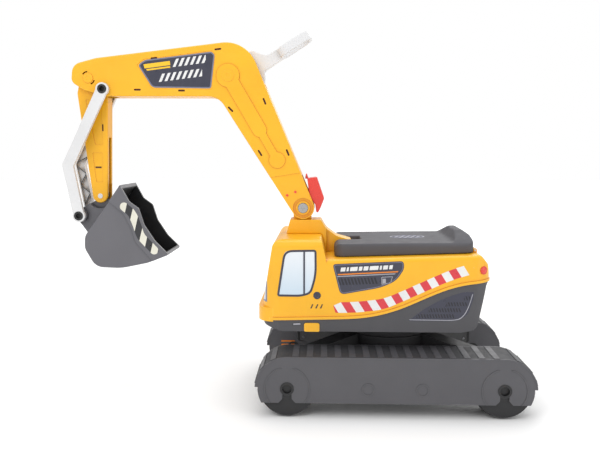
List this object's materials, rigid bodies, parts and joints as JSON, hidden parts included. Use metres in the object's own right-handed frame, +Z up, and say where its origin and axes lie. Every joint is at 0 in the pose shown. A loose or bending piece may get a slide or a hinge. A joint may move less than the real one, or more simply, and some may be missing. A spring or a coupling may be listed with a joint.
{
  "type": "toy excavator",
  "caption": "Ride-on toy excavator: cab and seat house swivels on a wheeled track base; a lever works the boom-end dipper and bucket.",
  "frame": {"origin": "bottom centre of the whole machine at rest, on the ground, in the middle plane", "axes": "+X to the rear (the bucket is at -X), +Y to the right-hand side of a rider facing the bucket, +Z up"},
  "size_m": [0.7275, 0.29, 0.5786],
  "materials": {
    "yellow_shell": "satin",
    "track_grey": "satin",
    "pan_grey": "satin",
    "wheel_black": "matte",
    "seat_black": "satin",
    "bucket_grey": "satin",
    "liner_black": "matte",
    "white_plastic": "satin",
    "latch_red": "satin",
    "glazing": "gloss",
    "steel": "satin",
    "chrome": "polished",
    "tray_grey": "matte"
  },
  "bodies": {
    "undercarriage": {"chassis_frame": "wheel_black", "kingpin": "steel", "kingpin_nut": "steel", "left_track_housing": "track_grey", "left_track_screws": "steel", "right_track_housing": "track_grey", "right_track_screws": "steel", "turntable_ring": "wheel_black"},
    "house": {"boom_pedestal": "yellow_shell", "front_bumper": "yellow_shell", "house_screws": "steel", "left_shell_clip": "yellow_shell", "left_window": "glazing", "lower_pan": "pan_grey", "pedestal_screws": "steel", "right_shell_clip": "yellow_shell", "right_window": "glazing", "seat_hinge_pins": "steel", "storage_tray": "tray_grey", "turntable_cover": "pan_grey", "upper_shell": "yellow_shell", "windscreen": "glazing"},
    "seat_lid": {"seat": "seat_black"},
    "boom": {"boom_bolt": "chrome", "boom_left_shell": "yellow_shell", "boom_nut": "chrome", "boom_right_shell": "yellow_shell", "boom_screws": "steel", "dipper_pivot_pin": "yellow_shell", "latch_pivot_pin": "latch_red", "latch_stop_pin": "latch_red", "lever_pivot_pin": "yellow_shell", "upper_link_rivets": "wheel_black"},
    "lever": {"control_lever": "white_plastic", "lever_rod_pin": "steel"},
    "rod": {"push_rod": "white_plastic"},
    "dipper": {"bucket_pivot_pin": "white_plastic", "dipper_left_shell": "yellow_shell", "dipper_right_shell": "yellow_shell", "dipper_rod_pin": "steel", "dipper_screws": "steel"},
    "links": {"left_bucket_link": "white_plastic", "right_bucket_link": "white_plastic", "lower_link_pin": "wheel_black"},
    "bucket": {"bucket": "bucket_grey", "bucket_liner": "liner_black"},
    "latch": {"latch_lever": "latch_red"},
    "front_left_wheel": {"front_left_wheel": "wheel_black", "front_left_axle": "wheel_black"},
    "front_right_wheel": {"front_right_wheel": "wheel_black", "front_right_axle": "wheel_black"},
    "rear_left_wheel": {"rear_left_wheel": "wheel_black", "rear_left_axle": "wheel_black"},
    "rear_right_wheel": {"rear_right_wheel": "wheel_black", "rear_right_axle": "wheel_black"}
  },
  "joints": [
    {"name": "house_swivel", "type": "hinge", "parent": "undercarriage", "child": "house", "pos_m": [0.15794, 0, 0], "axis": [0, 0, 1], "continuous": true},
    {"name": "front_left_wheel_spin", "type": "hinge", "parent": "undercarriage", "child": "front_left_wheel", "pos_m": [-0.00006, -0.11, 0.044], "axis": [0, 1, 0], "continuous": true},
    {"name": "front_right_wheel_spin", "type": "hinge", "parent": "undercarriage", "child": "front_right_wheel", "pos_m": [-0.00006, 0.11, 0.044], "axis": [0, 1, 0], "continuous": true},
    {"name": "rear_left_wheel_spin", "type": "hinge", "parent": "undercarriage", "child": "rear_left_wheel", "pos_m": [0.31594, -0.11, 0.044], "axis": [0, 1, 0], "continuous": true},
    {"name": "rear_right_wheel_spin", "type": "hinge", "parent": "undercarriage", "child": "rear_right_wheel", "pos_m": [0.31594, 0.11, 0.044], "axis": [0, 1, 0], "continuous": true},
    {"name": "seat_lid_hinge", "type": "hinge", "parent": "house", "child": "seat_lid", "pos_m": [0.28394, 0, 0.2398], "axis": [0, 1, 0], "range_deg": [0, 75]},
    {"name": "boom_swing", "type": "hinge", "parent": "house", "child": "boom", "pos_m": [0.01964, 0, 0.2998], "axis": [0, -1, 0], "range_deg": [-10, 26]},
    {"name": "latch_press", "type": "hinge", "parent": "boom", "child": "latch", "pos_m": [0.00744, 0, 0.3254], "axis": [0, -1, 0], "range_deg": [0, 12], "stiffness_Nm_per_rad": 0.05, "springref_deg": -5.73},
    {"name": "dipper_swing", "type": "hinge", "parent": "boom", "child": "dipper", "pos_m": [-0.32066, 0, 0.5051], "axis": [0, -1, 0], "range_deg": [-20, 10]},
    {"name": "lever_swing", "type": "hinge", "parent": "boom", "child": "lever", "pos_m": [-0.09836, 0, 0.5083], "axis": [0, -1, 0], "range_deg": [-20, 10]},
    {"name": "rod_turn", "type": "hinge", "parent": "lever", "child": "rod", "pos_m": [-0.09836, 0, 0.5223], "axis": [0, -1, 0], "range_deg": [-10, 20]},
    {"name": "bucket_curl", "type": "hinge", "parent": "dipper", "child": "bucket", "pos_m": [-0.31016, 0, 0.3177], "axis": [0, -1, 0], "range_deg": [-20.7, 10.4]},
    {"name": "link_swing", "type": "hinge", "parent": "boom", "child": "links", "pos_m": [-0.29666, 0, 0.4876], "axis": [0, -1, 0], "range_deg": [-24.5, 12.3]}
  ],
  "couplings": [
    {"joint": "lever_swing", "follows": "dipper_swing", "ratio": 1},
    {"joint": "rod_turn", "follows": "dipper_swing", "ratio": -1},
    {"joint": "bucket_curl", "follows": "dipper_swing", "ratio": 1.03},
    {"joint": "link_swing", "follows": "dipper_swing", "ratio": 1.219}
  ]
}
